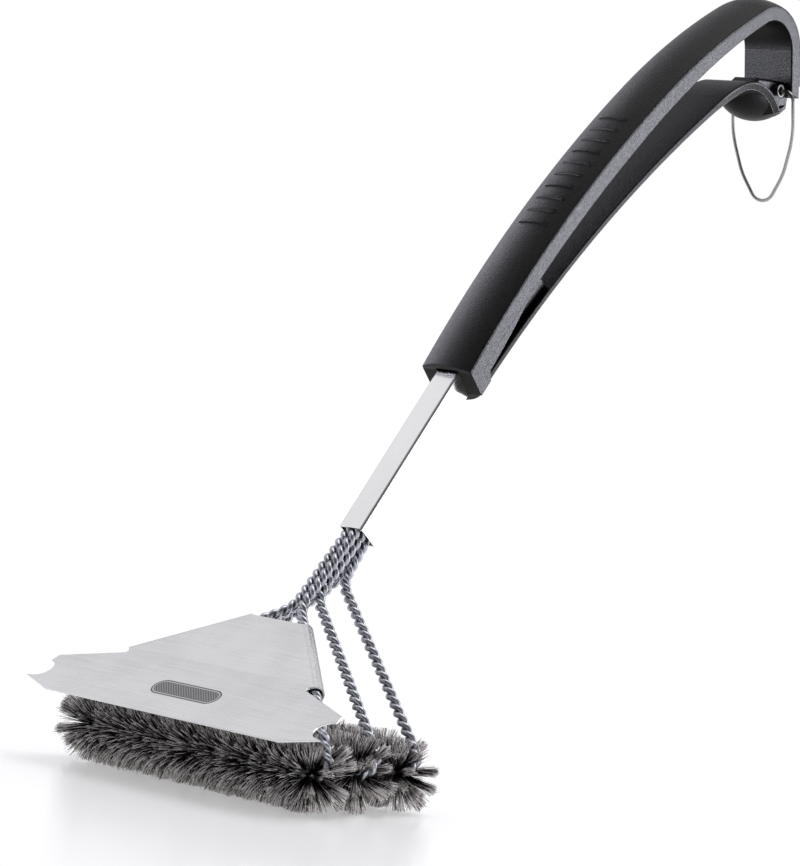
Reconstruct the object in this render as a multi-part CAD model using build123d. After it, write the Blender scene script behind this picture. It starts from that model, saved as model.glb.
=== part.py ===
from build123d import *
import os
from math import cos, radians, sin

# Grill cleaning brush. Millimetres, +Z up. X runs across the width, +Y from the scraper
# blade towards the handle. The three bristle rows stand on Z = 0, and the origin is under
# the centre of the middle row.

# bristle rows
row_pitch = 27.9
row_height = 17.0
row_half_length = 72.5
bristle_radius = 17.3
bristle_bore_radius = 2.9
row_gap = 0.4

# twisted wire, two strands to each loop
strand_radius = 1.0
strand_offset = 1.36
layer_pitch = 4.3
column_x = 2.2
wire_in_tube = 40.0
rear_neck = (51.6, 94.3)
middle_neck = (35.5, 87.2)
front_neck = (25.0, 82.0)
knee_past_tube = 18.0
loop_half = 89.0
front_loop_half = 83.0
mouth_bend_radius = 40.0
neck_bend_radius = 14.0
tube_bend_radius = 40.0
knee_bend_radius = 10.0
row_bend_radius = 6.5

# ferrule tube, square
ferrule_width = 14.2
ferrule_wall = 0.6
ferrule_angle = 53.9
ferrule_mouth = (60.4, 116.75)
ferrule_visible = 90.3
ferrule_in_handle = 45.0
socket_clearance = 0.1
pin_radius = 2.0
pin_depth = 24.0
pin_length = 17.5

# scraper plate: its front edge, its slope and its outline as (half width, distance up the slope)
plate_edge = (-57.4, 33.5)
plate_slope = 31.8
plate_thickness = 0.9
blade_half = 75.5
prong = (95.0, 6.8)
notch_start = (91.0, 7.6)
notch_bottom = (86.0, 14.4)
notch_end = (92.2, 20.4)
wing_corner = (91.5, 25.5)
wing_root = (57.5, 38.0)
plate_top = (17.5, 82.3)
tube_mouth = (59.5, 41.0)
tube_top = (16.2, 82.0)
tube_outer = 4.2
tube_inner = 3.4

# handle: two bands of one width that part at the front and meet round the eyelet
handle_half = 15.7
cover_crown = 5.0
cover_edge = 1.2
belly_drop = 5.0
upper_outer = ((110.7, 198.5), 57.6, ((730, -15.6), (385, -13), (22, -109)))
upper_inner = ((120.0, 201.1), 55.7, ((818, -14.1), (356, -11.8), (16, -109.8)))
lower_outer = ((124.0, 199.5), 51.4, ((850, -15), (62.5, -17.9), (26.5, -77.4)))
lower_inner = ((120.0, 188.6), 52.7, ((785, -16.1), (170, -8.7), (22.8, -83.6)))
curl_tip_height = 359.5
front_slot = (92.0, 98.5)
front_slot_height = 1.6
web_half = 11.7
web_corners = ((114.5, 197.5), (150.8, 253.0), (164.3, 243.6), (121.5, 194.0))
front_corners = ((110.7, 198.5), (120.0, 188.6), (125.5, 196.0), (124.2, 201.0), (116.3, 206.6))
shoulder_half = 15.5
shoulder_corners = (
    (112.0, 197.0), (124.0, 200.3), (128.1, 206.3), (136.9, 220.0), (147.3, 237.9), (152.4, 243.2),
    (152.8, 245.8), (144.0, 240.0), (113.5, 200.5),
)
boss_half = 8.5
boss_corners = (
    (314.0, 362.0), (320.0, 366.8), (341.5, 367.5), (347.0, 361.0), (346.6, 353.6), (342.0, 350.3),
    (338.0, 348.6), (331.0, 347.3), (322.0, 352.0),
)
boss_round = 1.5
dome_centre = (326.5, 360.0)
dome_size = (15.5, 23.0, 15.2)
dome_roof = (
    (280.0, 335.0), (280.0, 345.0), (286.0, 351.0), (295.0, 357.2), (303.0, 361.0), (309.0, 361.4),
    (315.0, 360.0), (321.6, 356.6), (326.7, 353.0), (331.0, 350.6), (346.6, 356.5), (350.0, 335.0),
)
edge_round = 0.8
side_bevel = (3.0, 1.2)

# eyelet and hanging ring
eyelet_centre = (335.6, 362.1)
eyelet_outer = 2.7
eyelet_inner = 1.9
eyelet_half = 12.0
lip_radius = 3.5
lip_thickness = 0.7
ring_wire = 0.9
ring_hang = 10.0
ring_corners = ((19.6, 0.0), (19.7, 24.2), (13.6, 44.0), (0.0, 65.3))
ring_bends = (5.5, 50.0, 35.0, 8.1)
ring_butt_gap = 0.3

os.makedirs("parts", exist_ok=True)

side_plane = Plane.YZ
ferrule_dir = Vector(0, cos(radians(ferrule_angle)), sin(radians(ferrule_angle)))
ferrule_up = Vector(0, -sin(radians(ferrule_angle)), cos(radians(ferrule_angle)))
ferrule_start = Vector(0, *ferrule_mouth)
plate_along = Vector(0, cos(radians(plate_slope)), sin(radians(plate_slope)))
plate_up = Vector(0, -sin(radians(plate_slope)), cos(radians(plate_slope)))
rear_y = row_pitch
front_y = -row_pitch


def arc_chain(route):
    """Tangent arcs in the side view: a start point, a heading and (radius, turn) pairs."""
    start, heading, arcs = route
    point = Vector(*start)
    tangent = Vector(cos(radians(heading)), sin(radians(heading)))
    edges = []
    for radius, turn in arcs:
        arc = JernArc(point, tangent, radius, turn)
        edges.append(arc)
        point, tangent = arc @ 1, arc % 1
    return edges, point, tangent


def side_prism(edges, half_width):
    """A closed outline drawn in the side view, as a solid across the width."""
    face = side_plane * make_face(edges)
    return extrude(face, amount=half_width, both=True)


def polygon_edges(points):
    return Polyline(*points, close=True).edges()


def export(part, node):
    part.label = node
    export_step(part, f"parts/{node}.step")


def make_bristle_row(y, layer):
    """One row of bristle as a trimmed cylinder, clear of its own wires."""
    axis = Plane((-row_half_length, y, row_height), x_dir=(0, 1, 0), z_dir=(1, 0, 0))
    row = extrude(axis * Circle(bristle_radius), 2 * row_half_length)
    front = y - bristle_radius if y == front_y else y - (row_pitch - row_gap) / 2
    back = y + bristle_radius if y == rear_y else y + (row_pitch - row_gap) / 2
    size = (2 * row_half_length, back - front, 2 * bristle_radius)
    room = Pos(0, front, 0) * Box(*size, align=(Align.CENTER, Align.MIN, Align.MIN))
    return (row & room) - make_rod(y, layer, bristle_bore_radius)


def on_plate(half_width, up_slope, below=0.0):
    """A point of the scraper's plane, given its place on the plate."""
    return Vector(half_width, *plate_edge) + plate_along * up_slope - plate_up * below


def wire_route(y, layer):
    """The right half of one loop's centre line, from inside the ferrule to its row."""
    mouth = ferrule_start + ferrule_up * (layer * layer_pitch) + Vector(column_x, 0, 0)
    inside = mouth + ferrule_dir * wire_in_tube
    if y == rear_y:
        return [inside, mouth, Vector(column_x, *rear_neck), Vector(loop_half, y, row_height)]
    if y == 0:
        return [inside, mouth, Vector(column_x, *middle_neck), Vector(loop_half, y, row_height)]
    mouth_end = on_plate(*tube_mouth, below=tube_outer)
    top_end = on_plate(*tube_top, below=tube_outer)
    along = (mouth_end - top_end).normalized()
    neck = Vector(column_x, *front_neck)
    knee = mouth_end + along * knee_past_tube
    return [inside, mouth, neck, top_end, knee, Vector(front_loop_half, y, row_height)]


def make_rod(y, layer, radius, shift=0.0):
    """A round rod along a loop's centre line, moved sideways along Y."""
    right = wire_route(y, layer)
    left = [Vector(-p.X, p.Y, p.Z) for p in reversed(right)]
    bends = [mouth_bend_radius, neck_bend_radius]
    if y == front_y:
        bends += [tube_bend_radius, knee_bend_radius]
    bends.append(row_bend_radius)
    points = [p + Vector(0, shift, 0) for p in right + left]
    path = FilletPolyline(*points, radius=bends + bends[::-1])
    section = Plane(path @ 0, z_dir=path % 0) * Circle(radius)
    return sweep(section, path=path)


def make_ferrule():
    start = Plane(ferrule_start, x_dir=(1, 0, 0), z_dir=ferrule_dir)
    inner = ferrule_width - 2 * ferrule_wall
    wall = RectangleRounded(ferrule_width, ferrule_width, 1.2) - RectangleRounded(inner, inner, 0.6)
    tube = extrude(start * wall, ferrule_visible + ferrule_in_handle)
    return tube - pin_solid(pin_radius, 2 * ferrule_width)


def pin_solid(radius, length):
    centre = ferrule_start + ferrule_dir * (ferrule_visible + pin_depth)
    return Plane(centre, z_dir=(1, 0, 0)) * Cylinder(radius, length)


def make_plate():
    """The sheet with its notched wings and the two rolled tubes that hold the front wire."""
    half = [
        Line((0, 0), (blade_half, 0)),
        Line((blade_half, 0), prong),
        Line(prong, notch_start),
        ThreePointArc(notch_start, notch_bottom, notch_end),
        Line(notch_end, wing_corner),
        Line(wing_corner, wing_root),
        Line(wing_root, plate_top),
        Line(plate_top, (0, plate_top[1])),
    ]
    sheet_plane = Plane(Vector(0, *plate_edge), x_dir=(1, 0, 0), z_dir=plate_up)
    outline = half + [edge.mirror(Plane.YZ) for edge in half]
    plate = extrude(sheet_plane * make_face(Wire.combine(outline)[0].edges()), -plate_thickness)
    bores = []
    for side in (1, -1):
        top = on_plate(side * tube_top[0], tube_top[1], below=tube_outer)
        mouth = on_plate(side * tube_mouth[0], tube_mouth[1], below=tube_outer)
        run = mouth - top
        plate += extrude(Plane(top, z_dir=run) * Circle(tube_outer), run.length)
        bores.append(extrude(Plane(top - run * 0.1, z_dir=run) * Circle(tube_inner), run.length * 1.2))
    return plate - bores


def side_edges(band, outline, side):
    """The long edges of a band on its side face at +X or -X that follow the given outline."""
    middles = [edge @ 0.5 for edge in outline]
    found = []
    for edge in band.edges():
        here = edge @ 0.5
        on_side = abs(here.X - side * handle_half) < 0.01
        if on_side and any(abs(here.Y - m.X) + abs(here.Z - m.Y) < 0.1 for m in middles):
            found.append(edge)
    return found


def round_sides(band, outline):
    return fillet(side_edges(band, outline, 1) + side_edges(band, outline, -1), edge_round)


def bevel_sides(band, outline):
    """Slopes the lower part of both side faces inwards."""
    along_side, inwards = side_bevel
    for side in (1, -1):
        side_face = band.faces().sort_by(Axis.X)[-1 if side > 0 else 0]
        band = chamfer(side_edges(band, outline, side), along_side, inwards, reference=side_face)
    return band


def make_upper_band():
    outer, outer_end, outer_way = arc_chain(upper_outer)
    inner, inner_end, inner_way = arc_chain(upper_inner)
    tip = outer_end + outer_way * ((curl_tip_height - outer_end.Y) / outer_way.Y)
    inner_tip = inner_end + inner_way * ((curl_tip_height + 2.0 - inner_end.Y) / inner_way.Y)
    ends = [Line(outer_end, tip), Line(tip, inner_tip), Line(inner_tip, inner_end)]
    band = side_prism(outer + ends + inner + [Line(upper_inner[0], upper_outer[0])], handle_half)
    return round_sides(band, inner)


def make_lower_band():
    outer, outer_end, _ = arc_chain(lower_outer)
    inner, inner_end, _ = arc_chain(lower_inner)
    ends = [Line(outer_end, inner_end), Line(lower_inner[0], lower_outer[0])]
    band = bevel_sides(side_prism(outer + ends + inner, handle_half), inner)
    return round_sides(band, outer)


def segment_section(half_width, edge, rise):
    """A D section: a flat base, short sides and an arched top."""
    return make_face([
        Line((-half_width, 0), (half_width, 0)),
        Line((half_width, 0), (half_width, edge)),
        ThreePointArc((half_width, edge), (0, edge + rise), (-half_width, edge)),
        Line((-half_width, edge), (-half_width, 0)),
    ])


def make_along(route, half_width, edge, rise, way, tail=0.0):
    """Sweeps the D section along a chain of arcs, arched to one side of it."""
    edges, end, tangent = arc_chain(route)
    if tail:
        edges.append(Line(end, end + tangent * tail))
    path = side_plane * Wire.combine(edges)[0]
    section = Plane(path @ 0, x_dir=(way, 0, 0), z_dir=path % 0) * segment_section(half_width, edge, rise)
    return sweep(section, path=path)


def front_slot_solid():
    """The narrow slot over the ferrule, open at the handle's front end."""
    start = ferrule_start + ferrule_dir * front_slot[0] + ferrule_up * (ferrule_width / 2)
    opening = Plane(start + ferrule_up * (front_slot_height / 2), x_dir=(1, 0, 0), z_dir=ferrule_dir)
    return extrude(opening * Rectangle(ferrule_width, front_slot_height), front_slot[1] - front_slot[0])


def make_grip_cover():
    cover = make_along(upper_outer, handle_half, cover_edge, cover_crown - cover_edge, -1, tail=20.0)
    return cover - front_slot_solid()


def make_dome():
    """The round swelling that fills the arch of the lower band."""
    swelling = Pos(0, *dome_centre) * scale(Sphere(1.0), by=dome_size)
    return swelling & side_prism(polygon_edges(dome_roof), handle_half)


def make_handle_frame():
    """Both bands, the web behind the ferrule's socket, the belly, the dome and the eyelet's boss."""
    frame = make_upper_band() + make_lower_band()
    frame += side_prism(polygon_edges(web_corners), web_half)
    frame += side_prism(polygon_edges(front_corners), handle_half)
    frame += side_prism(polygon_edges(shoulder_corners), shoulder_half)
    boss = side_prism(polygon_edges(boss_corners), boss_half)
    side_faces = boss.faces().sort_by(Axis.X)
    frame += fillet(side_faces[0].edges() + side_faces[-1].edges(), boss_round)
    frame += make_along(lower_inner, handle_half - side_bevel[1], 0.2, belly_drop, 1)
    frame += make_dome()
    socket = Plane(ferrule_start + ferrule_dir * (ferrule_visible - 20), x_dir=(1, 0, 0), z_dir=ferrule_dir)
    socket_width = ferrule_width + 2 * socket_clearance
    frame -= extrude(socket * RectangleRounded(socket_width, socket_width, 1.2), ferrule_in_handle + 20)
    frame -= pin_solid(pin_radius, pin_length)
    frame -= front_slot_solid()
    frame -= Plane(Vector(0, *eyelet_centre), z_dir=(1, 0, 0)) * Cylinder(eyelet_outer, 4 * handle_half)
    return frame


def make_eyelet():
    here = Plane(Vector(0, *eyelet_centre), z_dir=(1, 0, 0))
    tube = Cylinder(eyelet_outer, 2 * eyelet_half)
    for side in (1, -1):
        tube += Pos(0, 0, side * (eyelet_half - lip_thickness / 2)) * Cylinder(lip_radius, lip_thickness)
    return here * (tube - Cylinder(eyelet_inner, 2 * eyelet_half))


def make_ring():
    """The wire loop: straight through the eyelet, its ends butting inside it."""
    down = Vector(0, sin(radians(ring_hang)), -cos(radians(ring_hang)))
    centre = Vector(0, *eyelet_centre)
    right = [centre + Vector(x, 0, 0) + down * r for x, r in ring_corners]
    left = [centre + Vector(-x, 0, 0) + down * r for x, r in reversed(ring_corners[:-1])]
    start = centre + Vector(ring_butt_gap / 2, 0, 0)
    end = centre - Vector(ring_butt_gap / 2, 0, 0)
    bends = list(ring_bends) + list(reversed(ring_bends[:-1]))
    path = FilletPolyline(start, *right, *left, end, radius=bends)
    section = Plane(path @ 0, z_dir=path % 0) * Circle(ring_wire)
    return sweep(section, path=path)


for name, y, layer in (("front", front_y, 1), ("middle", 0, 0), ("rear", rear_y, -1)):
    export(make_bristle_row(y, layer), f"{name}_bristle_row")
    export(make_rod(y, layer, strand_radius, -strand_offset), f"{name}_wire_strand_a")
    export(make_rod(y, layer, strand_radius, strand_offset), f"{name}_wire_strand_b")

export(make_ferrule(), "ferrule_tube")
export(pin_solid(pin_radius, pin_length), "ferrule_cross_pin")
export(make_plate(), "scraper_plate")
export(make_grip_cover(), "grip_cover")
export(make_handle_frame(), "handle_frame")
export(make_eyelet(), "ring_eyelet")
export(make_ring(), "hanging_ring")
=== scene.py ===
import math

import bmesh
import bpy
import numpy as np
from mathutils import Matrix, Vector


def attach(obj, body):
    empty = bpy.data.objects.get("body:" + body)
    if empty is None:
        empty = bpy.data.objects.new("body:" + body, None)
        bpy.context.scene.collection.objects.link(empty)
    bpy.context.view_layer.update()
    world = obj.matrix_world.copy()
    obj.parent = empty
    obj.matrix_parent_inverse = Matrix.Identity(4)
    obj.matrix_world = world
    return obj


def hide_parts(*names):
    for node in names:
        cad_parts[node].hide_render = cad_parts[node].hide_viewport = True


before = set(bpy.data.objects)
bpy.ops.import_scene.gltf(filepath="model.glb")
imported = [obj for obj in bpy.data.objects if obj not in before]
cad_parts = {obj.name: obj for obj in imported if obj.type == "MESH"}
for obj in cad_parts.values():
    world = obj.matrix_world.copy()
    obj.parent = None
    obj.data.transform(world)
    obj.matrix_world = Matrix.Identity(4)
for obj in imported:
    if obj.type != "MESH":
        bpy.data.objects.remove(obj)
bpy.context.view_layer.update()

# Lengths are in millimetres, +Y from the scraper to the handle and +Z up, and turn into metres
# when a mesh is made. Angles named here are in radians unless their comment says degrees.
MM = 0.001
rng = np.random.default_rng(11)

# The same driving dimensions as the CAD source. Pairs are Y and Z, except on the scraper.
row_pitch = 27.9
row_height = 17.0
row_half_length = 72.5
bristle_radius = 17.3
layer_pitch = 4.3
column_x = 2.2
wire_in_tube = 40.0
neck_points = {"rear": (51.6, 94.3), "middle": (35.5, 87.2), "front": (25.0, 82.0)}
loop_half = {"rear": 89.0, "middle": 89.0, "front": 83.0}
wire_bends = {
    "rear": [40.0, 14.0, 6.5],
    "middle": [40.0, 14.0, 6.5],
    "front": [40.0, 14.0, 40.0, 10.0, 6.5],
}
knee_past_tube = 18.0
ferrule_angle = math.radians(53.9)
ferrule_mouth = (60.4, 116.75)
handle_half = 15.7
cover_crown = 5.0
cover_edge = 1.2
cover_tail = 20.0
upper_outer = ((110.7, 198.5), 57.6, ((730.0, -15.6), (385.0, -13.0), (22.0, -109.0)))  # degrees
eyelet_centre = (335.6, 362.1)
eyelet_outer = 2.7
eyelet_inner = 1.9
eyelet_half = 12.0
lip_radius = 3.5
ring_wire = 0.9
ring_hang = math.radians(10.0)
ring_top_half = 0.15
ring_corners = ((19.6, 0.0), (19.7, 24.2), (13.6, 44.0), (0.0, 65.3))  # half width, drop
ring_bends = (5.5, 50.0, 35.0, 8.1)

# The scraper's outline: half widths, and distances up the slope from the blade's edge.
plate_edge = (-57.4, 33.5)
plate_slope = math.radians(31.8)
plate_thickness = 0.9
plate_top_edge = 82.3
plate_top_half = 16.7
blade_corner = (75.5, 0.0)
prong_tip = (95.0, 6.8)
side_notch = ((91.0, 7.6), (86.0, 14.4), (92.2, 20.4))
shoulder = (91.5, 25.5)
tube_mouth = (59.5, 41.0)
mouth_relief = ((60.2, 36.9), (58.2, 38.4), tube_mouth)
tube_top = (16.2, 82.0)
tube_outer = 4.2
tube_inner = 3.4

# Detail that only the visual model has.
strand_radius = 1.36
strand_turn_radius = 1.32
leg_twist = 9.9
row_twist = 11.2
twist_change = (25.0, 55.0)  # the heights between which the twist tightens
phase_per_layer = 1.1
filaments_per_row = 9500
filament_radius = 0.125
filament_taper = (1.0, 1.0, 0.8)
floor_gap = 0.35
splay = 0.6
tuft_bearings = (28, 62, 90, 120, 152, 208, 238, 270, 302, 332)  # degrees
tuft_bearing_play = 7  # degrees
tuft_lean = (0.4, 1.25)
tuft_filaments = (90, 170)
tuft_inset = (0.5, 4.0)
tuft_reach = (0.94, 1.1)
roll_rise = 0.03
roll_turns = (97, -228)  # degrees
crease = (58.4, 42.0)
crease_lift = -0.75
cut_edge_bevel = 0.12
panel_centre = 19.0
panel_half_length = 21.0
panel_half_height = 5.6
panel_blur = 0.12
panel_line_inset = 1.1
panel_hatch_inset = 1.8
hatch_rate = 3.9
panel_grey = (0.13, 0.128, 0.13, 1)
rib_first = 92.0
rib_last = 178.0
rib_gap = 8.6
rib_height = 0.75
rib_half_width = 1.5
rib_half_length = 9.2
rim_inner = 7.1
end_round = 0.55
seat_gap = 0.02
slot_length = 2.78

# The stage, lights and camera, in metres.
lamp_distance = 1.6
handle_light_tint = (0.87, 0.88, 1.0)
floor_half = 30.0
floor_drop = 0.0002
camera_bearing = math.radians(42.082)
camera_elevation = math.radians(1.823)
camera_roll = math.radians(6.445)
camera_place = (1.11331, -1.15076, 0.21978)

rows = {"front": -row_pitch, "middle": 0.0, "rear": row_pitch}
layers = {"front": 1, "middle": 0, "rear": -1}


def vec(*values):
    return np.array(values, float)


def unit(vector):
    return vector / np.linalg.norm(vector)


def smooth_step(value):
    value = np.clip(value, 0, 1)
    return value * value * (3 - 2 * value)


ferrule_dir = vec(0, math.cos(ferrule_angle), math.sin(ferrule_angle))
ferrule_up = vec(0, -math.sin(ferrule_angle), math.cos(ferrule_angle))
plate_along = vec(0, math.cos(plate_slope), math.sin(plate_slope))
plate_up = vec(0, -math.sin(plate_slope), math.cos(plate_slope))


# ---------------------------------------------------------------- lines and meshes

def resample(line, step):
    """The same line with its points a fixed distance apart."""
    lengths = np.linalg.norm(np.diff(line, axis=0), axis=1)
    at = np.concatenate([[0], np.cumsum(lengths)])
    wanted = np.linspace(0, at[-1], max(2, int(at[-1] / step) + 1))
    return np.stack([np.interp(wanted, at, line[:, axis]) for axis in range(3)], axis=1)


def rounded_line(corners, bends, step):
    """Straight runs between corners, joined by arcs of the given radii."""
    parts = [corners[0][None]]
    for before, corner, after, bend in zip(corners, corners[1:], corners[2:], bends):
        back, ahead = unit(before - corner), unit(after - corner)
        half = math.acos(np.clip(back @ ahead, -1, 1)) / 2
        centre = corner + unit(back + ahead) * bend / math.sin(half)
        start = corner + back * bend / math.tan(half) - centre
        end = corner + ahead * bend / math.tan(half) - centre
        sweep = math.pi - 2 * half
        t = np.linspace(0, 1, 40)[:, None]
        turned = np.sin((1 - t) * sweep) * start + np.sin(t * sweep) * end
        parts.append(centre + turned / math.sin(sweep))
    parts.append(corners[-1][None])
    return resample(np.vstack(parts), step)


def carried_frames(line):
    """A normal and a side vector at each point of a line, with no twist of their own."""
    tangents = np.gradient(line, axis=0)
    tangents /= np.linalg.norm(tangents, axis=1)[:, None]
    normal = unit(np.cross(tangents[0], vec(0.3, 0.1, 1.0)))
    normals = []
    for tangent in tangents:
        normal = unit(normal - (normal @ tangent) * tangent)
        normals.append(normal)
    normals = np.array(normals)
    return normals, np.cross(tangents, normals)


def side_faces(count, sides, hoop=False):
    """The quads between neighbouring rings, and between the last and the first for a hoop."""
    row = np.arange(count if hoop else count - 1)[:, None]
    this_ring, next_ring = row * sides, (row + 1) % count * sides
    here = np.arange(sides)
    following = (here + 1) % sides
    corners = (this_ring + here, this_ring + following, next_ring + following, next_ring + here)
    return np.stack(corners, axis=-1).reshape(-1, 4).tolist()


def skin(rings):
    """Vertices and faces of a tube over a stack of rings, closed at both ends."""
    count, sides = rings.shape[:2]
    last = (count - 1) * sides
    caps = [list(range(sides))[::-1], [last + i for i in range(sides)]]
    return rings.reshape(-1, 3), side_faces(count, sides) + caps


def tube_rings(line, radius, sides):
    """Circles round each point of a line."""
    normals, others = carried_frames(line)
    turn = np.linspace(0, 2 * math.pi, sides, endpoint=False)[None, :, None]
    return line[:, None] + (normals[:, None] * np.cos(turn) + others[:, None] * np.sin(turn)) * radius


def add_piece(name, verts, faces, material, body, sharp=None, recalculate=False):
    """A mesh piece from millimetre vertices, riding on a CAD body. Its end caps stay flat."""
    mesh = bpy.data.meshes.new(name)
    mesh.from_pydata((np.asarray(verts) * MM).tolist(), [], faces)
    if recalculate:
        shape = bmesh.new()
        shape.from_mesh(mesh)
        bmesh.ops.recalc_face_normals(shape, faces=shape.faces)
        shape.to_mesh(mesh)
        shape.free()
    mesh.polygons.foreach_set("use_smooth", [len(face) <= 4 for face in faces])
    if sharp is not None:
        mesh.set_sharp_from_angle(angle=math.radians(sharp))
    mesh.materials.append(material)
    piece = bpy.data.objects.new(name, mesh)
    bpy.context.scene.collection.objects.link(piece)
    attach(piece, body)
    return piece


# ---------------------------------------------------------------- materials

def add(tree, kind, *inputs, **settings):
    """A shader node with its first inputs set or linked, and its first output."""
    node = tree.nodes.new("ShaderNode" + kind)
    for key, value in settings.items():
        setattr(node, key, value)
    for socket, value in zip(node.inputs, inputs):
        if isinstance(value, bpy.types.NodeSocket):
            tree.links.new(value, socket)
        elif value is not None:
            socket.default_value = value
    return node.outputs[0]


def calc(tree, operation, *inputs):
    return add(tree, "Math", *inputs, operation=operation)


def spread(tree, factor, low, high, new_low, new_high):
    return add(tree, "MapRange", factor, low, high, new_low, new_high)


def start_material(name, metallic=0.0, **uniform):
    material = bpy.data.materials.new(name)
    material.use_nodes = True
    shader = material.node_tree.nodes["Principled BSDF"]
    shader.inputs["Metallic"].default_value = metallic
    for key, value in uniform.items():
        shader.inputs[key.replace("_", " ")].default_value = value
    return material, material.node_tree, shader


def grain(tree, size, tilt=0.0, detail=3.0):
    """Noise with the given grain size in millimetres, in axes turned about X by tilt."""
    coords = tree.nodes.new("ShaderNodeTexCoord").outputs["Object"]
    scale = [v * MM for v in (size if np.ndim(size) else (size, size, size))]
    local = add(tree, "Mapping", coords, (0, 0, 0), (tilt, 0, 0), scale, vector_type="TEXTURE")
    node = tree.nodes.new("ShaderNodeTexNoise")
    tree.links.new(local, node.inputs["Vector"])
    node.inputs["Scale"].default_value = 1.0
    node.inputs["Detail"].default_value = detail
    return node.outputs[0]


def ramp(tree, factor, *stops):
    """A colour ramp over positions that each have a grey or a colour."""
    node = tree.nodes.new("ShaderNodeValToRGB")
    tree.links.new(factor, node.inputs[0])
    marks = node.color_ramp.elements
    while len(marks) < len(stops):
        marks.new(0.5)
    for mark, (position, colour) in zip(marks, stops):
        mark.position = position
        colour = colour if np.ndim(colour) else (colour,) * 3
        mark.color = (*colour, 1)
    return node.outputs[0]


def set_roughness(tree, shader, noise, middle, play):
    varied = spread(tree, noise, 0.3, 0.7, middle - play, middle + play)
    tree.links.new(varied, shader.inputs["Roughness"])


def set_bump(tree, shader, height, distance_mm):
    bump = tree.nodes.new("ShaderNodeBump")
    bump.inputs["Distance"].default_value = distance_mm * MM
    bump.inputs["Strength"].default_value = 1.0
    tree.links.new(height, bump.inputs["Height"])
    tree.links.new(bump.outputs[0], shader.inputs["Normal"])


def soft_touch(name, dark, light, roughness, depth, level, speck, sheen=0.0):
    """Moulded black plastic or rubber: fine spark-eroded grain over slow colour change."""
    material, tree, shader = start_material(name, Specular_IOR_Level=level, Sheen_Weight=sheen)
    shader.inputs["Sheen Roughness"].default_value = 0.35
    fine = grain(tree, speck, detail=2.0)
    broad = grain(tree, 14.0, detail=2.0)
    mixed = calc(tree, "ADD", fine, calc(tree, "MULTIPLY", broad, 0.35))
    tree.links.new(ramp(tree, mixed, (0.45, dark), (0.95, light)), shader.inputs["Base Color"])
    set_roughness(tree, shader, fine, roughness, 0.08)
    set_bump(tree, shader, fine, depth)
    return material


def brushed(name, dark, light, roughness, lay, tilt=0.0, depth=0.012):
    """Steel with fine lines along its brushing and slow stains across it."""
    material, tree, shader = start_material(name, metallic=1.0)
    lines = grain(tree, lay, tilt, detail=4.0)
    broad = grain(tree, (18.0, 26.0, 18.0), tilt, detail=3.0)
    mixed = calc(tree, "ADD", lines, calc(tree, "MULTIPLY", broad, 0.8))
    tree.links.new(ramp(tree, mixed, (0.55, dark), (1.2, light)), shader.inputs["Base Color"])
    set_roughness(tree, shader, lines, roughness, 0.06)
    set_bump(tree, shader, lines, depth)
    return material


def filament_material():
    """Fine steel filaments, painted darker near the wire as shade and brighter towards their tips as
    light.
    """
    material, tree, shader = start_material("bristle_filament", metallic=0.85)
    along = tree.nodes.new("ShaderNodeAttribute")
    along.attribute_name = "along"
    # Per-filament tone: partly random, and raised on some filaments as painted highlight streaks.
    tone_and_glint = tree.nodes.new("ShaderNodeAttribute")
    tone_and_glint.attribute_name = "tone_and_glint"
    scratch = grain(tree, 1.4, detail=2.0)
    mixed = calc(tree, "ADD", along.outputs["Fac"], tone_and_glint.outputs["Fac"])
    mixed = calc(tree, "ADD", mixed, spread(tree, scratch, 0.3, 0.7, -0.08, 0.08))
    # The ramp over along paints shade near the wire and light towards the tips.
    root, body, tip = (0.006, 0.004, 0.004), (0.036, 0.029, 0.029), (1.0, 0.95, 0.94)
    colours = ramp(tree, mixed, (0.1, root), (0.55, body), (1.0, tip))
    tree.links.new(colours, shader.inputs["Base Color"])
    set_roughness(tree, shader, scratch, 0.32, 0.06)
    return material


def panel_mask(tree):
    """One inside the scraper's etched oblong, and less on its border line and its hatching."""
    coords = tree.nodes.new("ShaderNodeTexCoord").outputs["Object"]
    place = [v * MM for v in (0.0, *plate_edge)]
    local = add(tree, "Mapping", coords, place, (plate_slope, 0, 0), (MM, MM, MM), vector_type="TEXTURE")
    axes = add(tree, "SeparateXYZ", local).node.outputs
    across = calc(tree, "ABSOLUTE", axes[0])
    across = calc(tree, "SUBTRACT", across, panel_half_length - panel_half_height)
    across = calc(tree, "MAXIMUM", across, 0.0)
    upward = calc(tree, "ABSOLUTE", calc(tree, "SUBTRACT", axes[1], panel_centre))
    squares = [calc(tree, "POWER", v, 2.0) for v in (across, upward)]
    distance = calc(tree, "POWER", calc(tree, "ADD", *squares), 0.5)
    edge_low, edge_high = panel_half_height - panel_blur, panel_half_height + panel_blur
    inside = spread(tree, distance, edge_low, edge_high, 1.0, 0.0)
    border = calc(tree, "SUBTRACT", distance, panel_half_height - panel_line_inset)
    border = spread(tree, calc(tree, "ABSOLUTE", border), 0.2, 0.4, 0.75, 0.0)
    slant = calc(tree, "MULTIPLY", calc(tree, "ADD", axes[0], axes[1]), hatch_rate)
    hatch = spread(tree, calc(tree, "SINE", slant), -0.2, 0.6, 0.0, 0.32)
    hatch_edge = panel_half_height - panel_hatch_inset
    field = spread(tree, distance, hatch_edge - 0.1, hatch_edge + 0.1, 1.0, 0.0)
    hatch = calc(tree, "MULTIPLY", hatch, field)
    kept = calc(tree, "MINIMUM", calc(tree, "MAXIMUM", border, hatch), 1.0)
    return calc(tree, "MULTIPLY", inside, calc(tree, "SUBTRACT", 1.0, kept))


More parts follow.
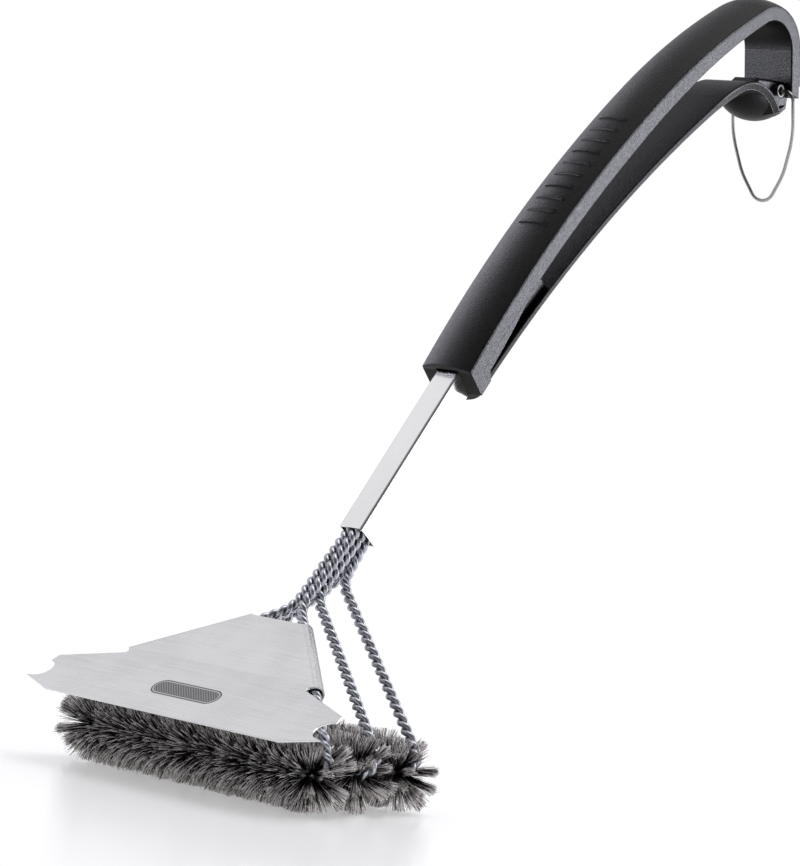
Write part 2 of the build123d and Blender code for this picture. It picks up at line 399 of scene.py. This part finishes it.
def plate_material():
    """The scraper's brushed sheet with a plain hatched panel etched near its edge."""
    material = brushed(
        "scraper_steel", dark=0.68, light=0.80, roughness=0.27,
        lay=(30.0, 0.5, 0.5), tilt=plate_slope, depth=0.003,
    )
    tree = material.node_tree
    base = tree.nodes["Principled BSDF"].inputs["Base Color"]
    plain = base.links[0].from_socket
    mix = tree.nodes.new("ShaderNodeMix")
    mix.data_type = "RGBA"
    tree.links.new(panel_mask(tree), mix.inputs["Factor"])
    tree.links.new(plain, mix.inputs[6])
    mix.inputs[7].default_value = panel_grey
    tree.links.new(mix.outputs[2], base)
    return material


grip_rubber = soft_touch(
    "grip_soft_touch", dark=0.001, light=0.005, roughness=0.46,
    depth=0.3, level=0.15, speck=0.9, sheen=0.04,
)
handle_plastic = soft_touch(
    "handle_moulded_plastic", dark=0.0006, light=0.0025, roughness=0.40,
    depth=0.085, level=0.13, speck=0.8,
)
ferrule_steel = brushed(
    "ferrule_brushed_steel", dark=0.77, light=0.85, roughness=0.22,
    lay=(0.4, 40.0, 0.4), tilt=ferrule_angle, depth=0.0015,
)
plate_steel = plate_material()
wire_steel = brushed(
    "drawn_wire_steel", dark=(0.36, 0.365, 0.40), light=(0.54, 0.55, 0.60), roughness=0.31,
    lay=3.0, depth=0.003,
)
pin_steel = brushed("pin_steel", dark=0.5, light=0.62, roughness=0.35, lay=0.6)
bright_wire = brushed(
    "bright_ring_wire", dark=0.27, light=0.36, roughness=0.28, lay=3.0, depth=0.0008
)
eyelet_steel = brushed("eyelet_steel", dark=0.22, light=0.32, roughness=0.34, lay=0.8, depth=0.004)
bristle_steel = filament_material()


# ---------------------------------------------------------------- scraper

def on_plate(half_width, up_slope, below=0.0):
    """A point of the scraper, whose sheet has a slight valley crease across it."""
    place = crease[1]
    far = plate_top_edge - place if up_slope > place else place
    lift = crease_lift * max(0.0, 1 - abs(up_slope - place) / far)
    return vec(half_width, *plate_edge) + plate_along * up_slope + plate_up * (lift - below)


def arc_through(start, middle, end, count):
    """Points on the circle through three plane points, ends included."""
    (ax, ay), (bx, by), (cx, cy) = start, middle, end
    d = 2 * (ax * (by - cy) + bx * (cy - ay) + cx * (ay - by))
    a2, b2, c2 = ax * ax + ay * ay, bx * bx + by * by, cx * cx + cy * cy
    ox = (a2 * (by - cy) + b2 * (cy - ay) + c2 * (ay - by)) / d
    oy = (a2 * (cx - bx) + b2 * (ax - cx) + c2 * (bx - ax)) / d
    radius = math.hypot(ax - ox, ay - oy)
    first = math.atan2(ay - oy, ax - ox)
    through = math.atan2(by - oy, bx - ox)
    final = math.atan2(cy - oy, cx - ox)
    way = 1 if (through - first) % (2 * math.pi) < (final - first) % (2 * math.pi) else -1
    sweep = way * ((way * (final - first)) % (2 * math.pi))
    turns = [first + sweep * i / count for i in range(count + 1)]
    return [(ox + radius * math.cos(turn), oy + radius * math.sin(turn)) for turn in turns]


def make_scraper():
    """The flat sheet, with a face on each side of its crease."""
    half = [blade_corner, prong_tip]
    half += arc_through(*side_notch, 22)
    half += [shoulder]
    half += arc_through(*mouth_relief, 8)
    crease_at = len(half)
    half += [crease, (plate_top_half, plate_top_edge)]
    outline = half + [(-x, s) for x, s in reversed(half)]
    top = [on_plate(x, s) for x, s in outline]
    bottom = [on_plate(x, s, plate_thickness) for x, s in outline]
    count = len(outline)
    right, left = crease_at, count - 1 - crease_at
    lower = list(range(right + 1)) + list(range(left, count))
    upper = list(range(right, left + 1))
    faces = [lower, upper]
    faces += [[count + i for i in reversed(part)] for part in (lower, upper)]
    faces += [[i, (i + 1) % count, count + (i + 1) % count, count + i] for i in range(count)]
    piece = add_piece(
        "scraper_sheet", top + bottom, faces, plate_steel, "brush", sharp=1, recalculate=True
    )
    bevel = piece.modifiers.new("cut_edge", "BEVEL")
    bevel.width = cut_edge_bevel * MM
    bevel.segments = 2
    bevel.limit_method = "ANGLE"
    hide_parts("scraper_plate")


def make_rolled_edge(side, name):
    """The sheet's slanted edge, curled under into an open-seamed tube round the wire."""
    top = on_plate(side * tube_top[0], tube_top[1], tube_outer - roll_rise)
    mouth = on_plate(side * tube_mouth[0], tube_mouth[1], tube_outer - roll_rise)
    along = unit(mouth - top)
    outward = unit(np.cross(along, plate_up))
    outward *= np.sign(outward[0] * side)
    turns = np.radians(np.linspace(*roll_turns, 64))
    section = [plate_up * math.sin(a) + outward * math.cos(a) for a in turns]
    loop = [d * tube_outer for d in section] + [d * tube_inner for d in reversed(section)]
    rings = np.array([[end + p for p in loop] for end in (top, mouth)])
    sides = len(loop)
    faces = side_faces(2, sides)
    for base in (0, sides):
        for i in range(len(section) - 1):
            faces.append([base + i, base + i + 1, base + sides - 2 - i, base + sides - 1 - i])
    piece = add_piece(
        name, rings.reshape(-1, 3), faces, plate_steel, "brush", sharp=40, recalculate=True
    )
    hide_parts("scraper_plate")


# ---------------------------------------------------------------- twisted wire loops

def wire_centre(row):
    """The centre line of one loop, from inside the ferrule down, along the row and back up."""
    mouth = vec(0, *ferrule_mouth) + ferrule_up * layers[row] * layer_pitch + vec(column_x, 0, 0)
    right = [mouth + ferrule_dir * wire_in_tube, mouth, vec(column_x, *neck_points[row])]
    if row == "front":
        mouth_end = on_plate(*tube_mouth, tube_outer)
        top_end = on_plate(*tube_top, tube_outer)
        right += [top_end, mouth_end + unit(mouth_end - top_end) * knee_past_tube]
    right.append(vec(loop_half[row], rows[row], row_height))
    left = [p * vec(-1, 1, 1) for p in reversed(right)]
    bends = wire_bends[row]
    return rounded_line(right + left, bends + bends[::-1], 0.5)


def twist_angles(line):
    """The turn of the twist at each point, left-handed and slower along the row."""
    low, high = twist_change
    twist = row_twist + (leg_twist - row_twist) * smooth_step((line[:, 2] - low) / (high - low))
    steps = np.linalg.norm(np.diff(line, axis=0, prepend=line[:1]), axis=1)
    return -np.cumsum(2 * math.pi * steps / twist)


def make_strands(row):
    """The two strands of one loop. Returns what the bristles need of the line along the row."""
    line = wire_centre(row)
    normals, others = carried_frames(line)
    angles = twist_angles(line) + layers[row] * phase_per_layer
    for strand, phase in (("a", 0.0), ("b", math.pi)):
        turn = (angles + phase)[:, None]
        own = line + strand_turn_radius * (normals * np.cos(turn) + others * np.sin(turn))
        verts, faces = skin(tube_rings(own, strand_radius, 10))
        piece = add_piece(f"{row}_twisted_strand_{strand}", verts, faces, wire_steel, "brush", sharp=60)
        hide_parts(f"{row}_wire_strand_{strand}")
    on_row = np.abs(line[:, 2] - row_height) < 0.01
    return line[on_row, 0], angles[on_row], normals[on_row], others[on_row]


# ---------------------------------------------------------------- bristles

def end_tufts(row):
    """Roots, directions and lengths of the bundles that flare out past both ends of a row."""
    roots, aims, lengths = [], [], []
    for end in (-1, 1):
        for bearing in tuft_bearings:
            angle = math.radians(bearing + rng.uniform(-tuft_bearing_play, tuft_bearing_play))
            lean = rng.uniform(*tuft_lean)
            count = int(rng.uniform(*tuft_filaments))
            around = angle + rng.normal(0, 0.10, count)
            tilt = lean + rng.normal(0, 0.075, count)
            radial = np.stack([np.zeros(count), np.cos(around), np.sin(around)], axis=1)
            aim = radial * np.cos(tilt)[:, None] + vec(end, 0, 0) * np.sin(tilt)[:, None]
            start = vec(end * (row_half_length - rng.uniform(*tuft_inset)), rows[row], row_height)
            roots.append(start + radial * 0.8 + rng.normal(0, 0.35, (count, 3)))
            aims.append(aim)
            reach = bristle_radius * rng.uniform(*tuft_reach)
            lengths.append(reach * (1 + rng.normal(0, 0.035, count)))
    return np.vstack(roots), np.vstack(aims), np.concatenate(lengths)


def row_filaments(row, places, angles, normals, others):
    """Roots, directions and lengths of the filaments held in the twist, in two clumps a turn."""
    count = filaments_per_row
    order = np.argsort(places)
    x = rng.uniform(-row_half_length, row_half_length, count)
    half_turn = row_twist / 2
    node = np.floor(x / half_turn).astype(int)
    clumps = (node - node.min()) * 2 + rng.integers(0, 2, count)
    to_node = (np.floor(x / half_turn) + 0.5) * half_turn - x

    def at(values):
        return np.interp(x, places[order], values[order])

    def per_clump(middle, play):
        return rng.normal(middle, play, clumps.max() + 1)[clumps]

    angle = at(angles) + math.pi / 2 + (clumps % 2) * math.pi
    angle += per_clump(0, 0.20)
    angle += rng.normal(0, 0.20, count)
    normal = np.stack([at(normals[:, axis]) for axis in range(3)], axis=1)
    other = np.stack([at(others[:, axis]) for axis in range(3)], axis=1)
    radial = (normal * np.cos(angle)[:, None] + other * np.sin(angle)[:, None]) * vec(1, splay, 1)
    radial /= np.linalg.norm(radial, axis=1)[:, None]

    near_end = np.clip((np.abs(x) - 60.0) / (row_half_length - 60.0), 0, 1) ** 2
    lean = np.sign(x) * near_end * rng.uniform(0.0, 0.6, count)
    lean += rng.normal(0, 0.055, count)
    lean += per_clump(0, 0.06)
    direction = radial * np.cos(lean)[:, None] + vec(1, 0, 0) * np.sin(lean)[:, None]

    share = 1 + rng.normal(0, 0.02, count)
    share += per_clump(-0.01, 0.035)
    length = bristle_radius * share - 0.3
    on_wire = vec(0, rows[row], row_height) + (x + to_node * 0.6)[:, None] * vec(1, 0, 0)
    return on_wire + radial * 0.6, direction, length


def make_bristles(row, places, angles, normals, others):
    """One row of loose filaments, each a bent three-sided wire with a tone of its own, a few lifted as
    painted highlight streaks.
    """
    held = row_filaments(row, places, angles, normals, others)
    flared = end_tufts(row)
    root, direction, length = (np.concatenate(pair) for pair in zip(held, flared))
    count = len(root)
    side = np.cross(direction, vec(1, 0, 0))
    side /= np.maximum(np.linalg.norm(side, axis=1), 1e-6)[:, None]
    tip = root + direction * length[:, None]
    middle = (root + tip) / 2 + side * rng.normal(0, 0.42, count)[:, None]

    # Filaments that would reach the surface are cut short just above it.
    short = np.clip((row_height - floor_gap) / np.maximum(row_height - tip[:, 2], 1e-6), 0, 1)
    short = np.where(tip[:, 2] < floor_gap, short, 1.0)[:, None]
    tip = root + (tip - root) * short
    middle = root + (middle - root) * short

    line = np.stack([root, middle, tip], axis=1)
    thick = filament_radius * vec(*filament_taper)
    turn = (np.array([0, 2, 4]) * math.pi / 3)[None, :, None]
    ring = side[:, None] * np.cos(turn) + np.cross(direction, side)[:, None] * np.sin(turn)
    verts = line[:, :, None] + ring[:, None] * thick[None, :, None, None]
    base = np.arange(count)[:, None] * 9
    quads = (base[:, None] + np.array(side_faces(3, 3))[None]).reshape(-1, 4).tolist()
    caps = np.concatenate([base + np.array([2, 1, 0]), base + np.array([6, 7, 8])]).tolist()
    name = f"{row}_bristle_filaments"
    piece = add_piece(name, verts.reshape(-1, 3), quads + caps, bristle_steel, "brush")

    # Position along each filament; the material paints shade near the root and light near the tip from
    # it.
    along = piece.data.attributes.new("along", "FLOAT", "POINT")
    steps = np.repeat([0.0, 0.40, 0.92], 3)
    along.data.foreach_set("value", np.tile(steps, count).astype(np.float32))
    # A random tone per filament, raised on 14 in 100 of them as painted highlight streaks.
    tone_and_glint = piece.data.attributes.new("tone_and_glint", "FLOAT", "POINT")
    tones_and_glints = rng.normal(-0.04, 0.32, count) + 0.5 * (rng.random(count) < 0.14)
    tone_and_glint.data.foreach_set("value", np.repeat(tones_and_glints, 9).astype(np.float32))
    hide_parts(f"{row}_bristle_row")


# ---------------------------------------------------------------- handle

def route_length(route, tail):
    """The length of a chain of arcs and its straight tail."""
    return sum(radius * math.radians(abs(turn)) for radius, turn in route[2]) + tail


def along_route(route, stations):
    """Points and headings at given distances along a chain of arcs that goes on straight."""
    (y, z), heading, arcs = route
    runs = []
    start = 0.0
    for radius, turn in arcs:
        length = radius * math.radians(abs(turn))
        runs.append((start, y, z, heading, turn / length))
        way = math.copysign(1, turn)
        h0, h1 = math.radians(heading), math.radians(heading + turn)
        y += way * radius * (math.sin(h1) - math.sin(h0))
        z -= way * radius * (math.cos(h1) - math.cos(h0))
        heading += turn
        start += length
    runs.append((start, y, z, heading, 0.0))
    found = []
    for s in stations:
        begin, y, z, heading, bend = [run for run in runs if run[0] <= s + 1e-9][-1]
        h0, h1 = math.radians(heading), math.radians(heading + bend * (s - begin))
        if bend:
            k = math.radians(bend)
            point = (y + (math.sin(h1) - math.sin(h0)) / k, z - (math.cos(h1) - math.cos(h0)) / k)
        else:
            point = (y + math.cos(h0) * (s - begin), z + math.sin(h0) * (s - begin))
        found.append((vec(0, *point), h1))
    return found


def cover_outline():
    """The cover's section, as half widths and heights: up one rim, over the arch and down."""
    rise = cover_crown - cover_edge
    radius = (handle_half ** 2 + rise ** 2) / (2 * rise)
    half_arc = math.asin(handle_half / radius)
    arch = [
        (radius * math.sin(a), cover_edge + radius * math.cos(a) - radius * math.cos(half_arc))
        for a in np.linspace(half_arc * 0.96, -half_arc * 0.96, 46)
    ]
    rim = [
        (rim_inner, seat_gap),
        (rim_inner, 0.0),
        (handle_half - 0.12, 0.0),
        (handle_half, 0.5),
        (handle_half, cover_edge - 0.4),
        (handle_half - 0.18, cover_edge - 0.02),
    ]
    return np.array(rim + arch + [(-x, n) for x, n in reversed(rim)])


def make_grip():
    """The soft-touch cover: an arched crown with a rounded rim and raised cross ribs."""
    total = route_length(upper_outer, cover_tail)
    rib_start, rib_stop = rib_first - 3, rib_last + 3
    fine = np.arange(rib_start, rib_stop, 0.3)
    coarse = np.concatenate([np.arange(0.9, rib_start, 2.0), np.arange(rib_stop, total - 0.9, 1.5)])
    front_end = [0.0, 0.06, 0.2, 0.38, end_round, slot_length - 0.03, slot_length + 0.02]
    back_end = [total - 0.5, total - 0.2, total]
    stations = np.sort(np.concatenate([front_end, coarse, fine, back_end]))
    outline = cover_outline()
    slot_points = [0, len(outline) - 1]
    on_top = outline[:, 1] > cover_edge
    rib_window = smooth_step((rib_half_length - np.abs(outline[:, 0])) / 0.9)
    ribs = np.arange(rib_first, rib_last, rib_gap)
    rings = []
    for s, (point, heading) in zip(stations, along_route(upper_outer, stations)):
        outward = vec(0, -math.sin(heading), math.cos(heading))
        rise = max(smooth_step((rib_half_width - abs(s - rib)) / 0.35) for rib in ribs)
        height = outline[:, 1] + rib_height * rise * rib_window * on_top
        from_end = min(s, total - s, end_round) / end_round
        inset = 0.5 * (1 - math.sqrt(max(0.0, 1 - (1 - from_end) ** 2)))
        across = outline[:, 0] * (1 - inset / handle_half)
        height = np.where(outline[:, 1] > 0.2, height - inset, height)
        height[slot_points] = 1.2 - 0.065 * s if s < slot_length else seat_gap
        rings.append(point + across[:, None] * vec(1, 0, 0) + height[:, None] * outward)
    verts, faces = skin(np.array(rings))
    piece = add_piece("grip_soft_cover", verts, faces, grip_rubber, "brush", sharp=50, recalculate=True)
    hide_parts("grip_cover")


# ---------------------------------------------------------------- eyelet and ring

def make_ring():
    """The wire ring, hanging in its rest place through the eyelet."""
    down = vec(0, math.sin(ring_hang), -math.cos(ring_hang))
    centre = vec(0, *eyelet_centre)
    top_half = vec(ring_top_half, 0, 0)
    right = [centre + vec(x, 0, 0) + down * drop for x, drop in ring_corners]
    left = [centre + vec(-x, 0, 0) + down * drop for x, drop in reversed(ring_corners[:-1])]
    corners = [centre + top_half] + right + left + [centre - top_half]
    bends = list(ring_bends) + list(reversed(ring_bends[:-1]))
    verts, faces = skin(tube_rings(rounded_line(corners, bends, 0.6), ring_wire, 14))
    piece = add_piece("hanging_ring_wire", verts, faces, bright_wire, "ring", sharp=60)
    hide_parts("hanging_ring")


def make_eyelet():
    """A tubular eyelet with both lips rolled over."""
    lip = [  # distance in from the end, and radius
        (0.75, eyelet_outer),
        (0.7, lip_radius - 0.3),
        (0.45, lip_radius),
        (0.15, lip_radius - 0.1),
        (0.0, lip_radius - 0.5),
        (0.05, eyelet_inner + 0.5),
        (0.4, eyelet_inner + 0.12),
        (1.0, eyelet_inner),
    ]
    profile = [(inset - eyelet_half, radius) for inset, radius in lip]
    profile += [(-x, radius) for x, radius in reversed(profile)]
    y, z = eyelet_centre
    turns = np.linspace(0, 2 * math.pi, 40, endpoint=False)
    rings = np.array([
        [(x, y + radius * math.cos(a), z + radius * math.sin(a)) for x, radius in profile]
        for a in turns
    ])
    faces = side_faces(len(turns), len(profile), hoop=True)
    verts = rings.reshape(-1, 3)
    piece = add_piece(
        "ring_eyelet_rolled", verts, faces, eyelet_steel, "brush", sharp=50, recalculate=True
    )
    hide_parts("ring_eyelet")


make_scraper()
make_rolled_edge(1, "scraper_rolled_edge_right")
make_rolled_edge(-1, "scraper_rolled_edge_left")
for row_name in rows:
    make_bristles(row_name, *make_strands(row_name))
make_grip()
make_eyelet()
make_ring()

# These three nodes are shown as their CAD meshes.
carried = {
    "handle_frame": handle_plastic,
    "ferrule_tube": ferrule_steel,
    "ferrule_cross_pin": pin_steel,
}
for node, material in carried.items():
    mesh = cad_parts[node].data
    mesh.materials.clear()
    mesh.materials.append(material)


# ---------------------------------------------------------------- stage, lights and camera

def make_floor():
    """A pale floor that takes the shadow and fades to plain white further out."""
    signs = ((-1, -1), (1, -1), (1, 1), (-1, 1))
    corners = [(x * floor_half, y * floor_half, -floor_drop) for x, y in signs]
    mesh = bpy.data.meshes.new("floor")
    mesh.from_pydata(corners, [], [(0, 1, 2, 3)])
    material, tree, shader = start_material("pale_floor", Roughness=0.2)
    coords = tree.nodes.new("ShaderNodeTexCoord").outputs["Object"]
    distance = add(tree, "VectorMath", coords, operation="LENGTH").node.outputs["Value"]
    shader.inputs["Base Color"].default_value = (0.92, 0.92, 0.93, 1)
    shader.inputs["Emission Color"].default_value = (1, 1, 1, 1)
    shader.inputs["Emission Strength"].default_value = 0.32
    glow = tree.nodes.new("ShaderNodeEmission")
    glow.inputs["Color"].default_value = (1, 1, 1, 1)
    mix = tree.nodes.new("ShaderNodeMixShader")
    tree.links.new(spread(tree, distance, 0.25, 1.1, 0.0, 1.0), mix.inputs[0])
    tree.links.new(shader.outputs[0], mix.inputs[1])
    tree.links.new(glow.outputs[0], mix.inputs[2])
    tree.links.new(mix.outputs[0], tree.nodes["Material Output"].inputs["Surface"])
    mesh.materials.append(material)
    floor = bpy.data.objects.new("floor", mesh)
    bpy.context.scene.collection.objects.link(floor)


def make_world():
    """A white backdrop, with softer light that is stronger from behind the brush."""
    world = bpy.data.worlds.new("studio")
    bpy.context.scene.world = world
    world.use_nodes = True
    tree = world.node_tree
    tree.nodes.clear()
    seen = tree.nodes.new("ShaderNodeBackground")
    seen.inputs["Color"].default_value = (1, 1, 1, 1)
    lit = tree.nodes.new("ShaderNodeBackground")
    lit.inputs["Color"].default_value = (0.96, 0.96, 1.0, 1)
    direction = tree.nodes.new("ShaderNodeTexCoord").outputs["Generated"]
    dot = add(tree, "VectorMath", direction, (0.67, -0.74, 0.1), operation="DOT_PRODUCT")
    facing = dot.node.outputs["Value"]
    tree.links.new(spread(tree, facing, 0.05, 0.65, 0.72, 0.10), lit.inputs["Strength"])
    mix = tree.nodes.new("ShaderNodeMixShader")
    tree.links.new(tree.nodes.new("ShaderNodeLightPath").outputs["Is Camera Ray"], mix.inputs[0])
    tree.links.new(lit.outputs[0], mix.inputs[1])
    tree.links.new(seen.outputs[0], mix.inputs[2])
    out = tree.nodes.new("ShaderNodeOutputWorld")
    tree.links.new(mix.outputs[0], out.inputs["Surface"])


def add_softbox(name, direction, size, radiance, target=(0, 0.15, 0.2), spread_angle=180, only=()):
    """A square area light aimed at the object, with its brightness given as radiance.

    Lights made for some pieces only are bluish and light nothing else.
    """
    light = bpy.data.lights.new(name, "AREA")
    light.shape = "SQUARE"
    light.size = size
    light.energy = radiance * math.pi * size * size
    light.spread = math.radians(spread_angle)
    lamp = bpy.data.objects.new(name, light)
    way = Vector(direction).normalized()
    lamp.location = Vector(target) + way * lamp_distance
    lamp.rotation_mode = "QUATERNION"
    lamp.rotation_quaternion = (-way).to_track_quat("-Z", "Y")
    lamp.visible_camera = False
    bpy.context.scene.collection.objects.link(lamp)
    if only:
        light.color = handle_light_tint
        receivers = bpy.data.collections.new(name + "_receivers")
        for piece in only:
            receivers.objects.link(piece)
        lamp.light_linking.receiver_collection = receivers


def make_camera():
    """The camera, seen from the part: how far round from -Y, how high, and how tipped."""
    data = bpy.data.cameras.new("camera")
    camera = bpy.data.objects.new("camera", data)
    flat = math.cos(camera_elevation)
    sine, cosine = math.sin(camera_bearing), math.cos(camera_bearing)
    back = vec(sine * flat, -cosine * flat, math.sin(camera_elevation))
    level = vec(cosine, sine, 0)
    right = level * math.cos(camera_roll) + np.cross(back, level) * math.sin(camera_roll)
    turned = Matrix((right, np.cross(back, right), back)).transposed().to_4x4()
    turned.translation = Vector(camera_place)
    camera.matrix_world = turned
    data.sensor_width = 36
    data.lens = 145.45
    data.clip_start = 0.05
    data.clip_end = 100
    bpy.context.scene.collection.objects.link(camera)
    bpy.context.scene.camera = camera


make_floor()
make_world()
handle_pieces = (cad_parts["handle_frame"], bpy.data.objects["grip_soft_cover"])
add_softbox("right_back_softbox", (0.67, 0.74, 0.05), size=0.9, radiance=2.6)
add_softbox("handle_side_softbox", (0.67, 0.74, 0.0), size=0.9, radiance=26.0, only=handle_pieces)
add_softbox("handle_left_softbox", (-0.84, 0.08, 0.46), size=0.9, radiance=4.6, only=handle_pieces)
add_softbox("handle_back_softbox", (0.06, 0.98, -0.05), size=0.8, radiance=2.6, only=handle_pieces)
add_softbox("left_top_softbox", (-0.67, -0.15, 0.72), size=0.9, radiance=0.26)
add_softbox(
    "handle_front_softbox", (-0.67, -0.74, 0.0), size=0.6, radiance=1.9,
    target=(0, 0.28, 0.34), spread_angle=38, only=handle_pieces,
)
add_softbox("top_softbox", (0.15, 0.3, 1.0), size=1.2, radiance=2.1)
make_camera()
bpy.context.scene.view_settings.view_transform = "Standard"
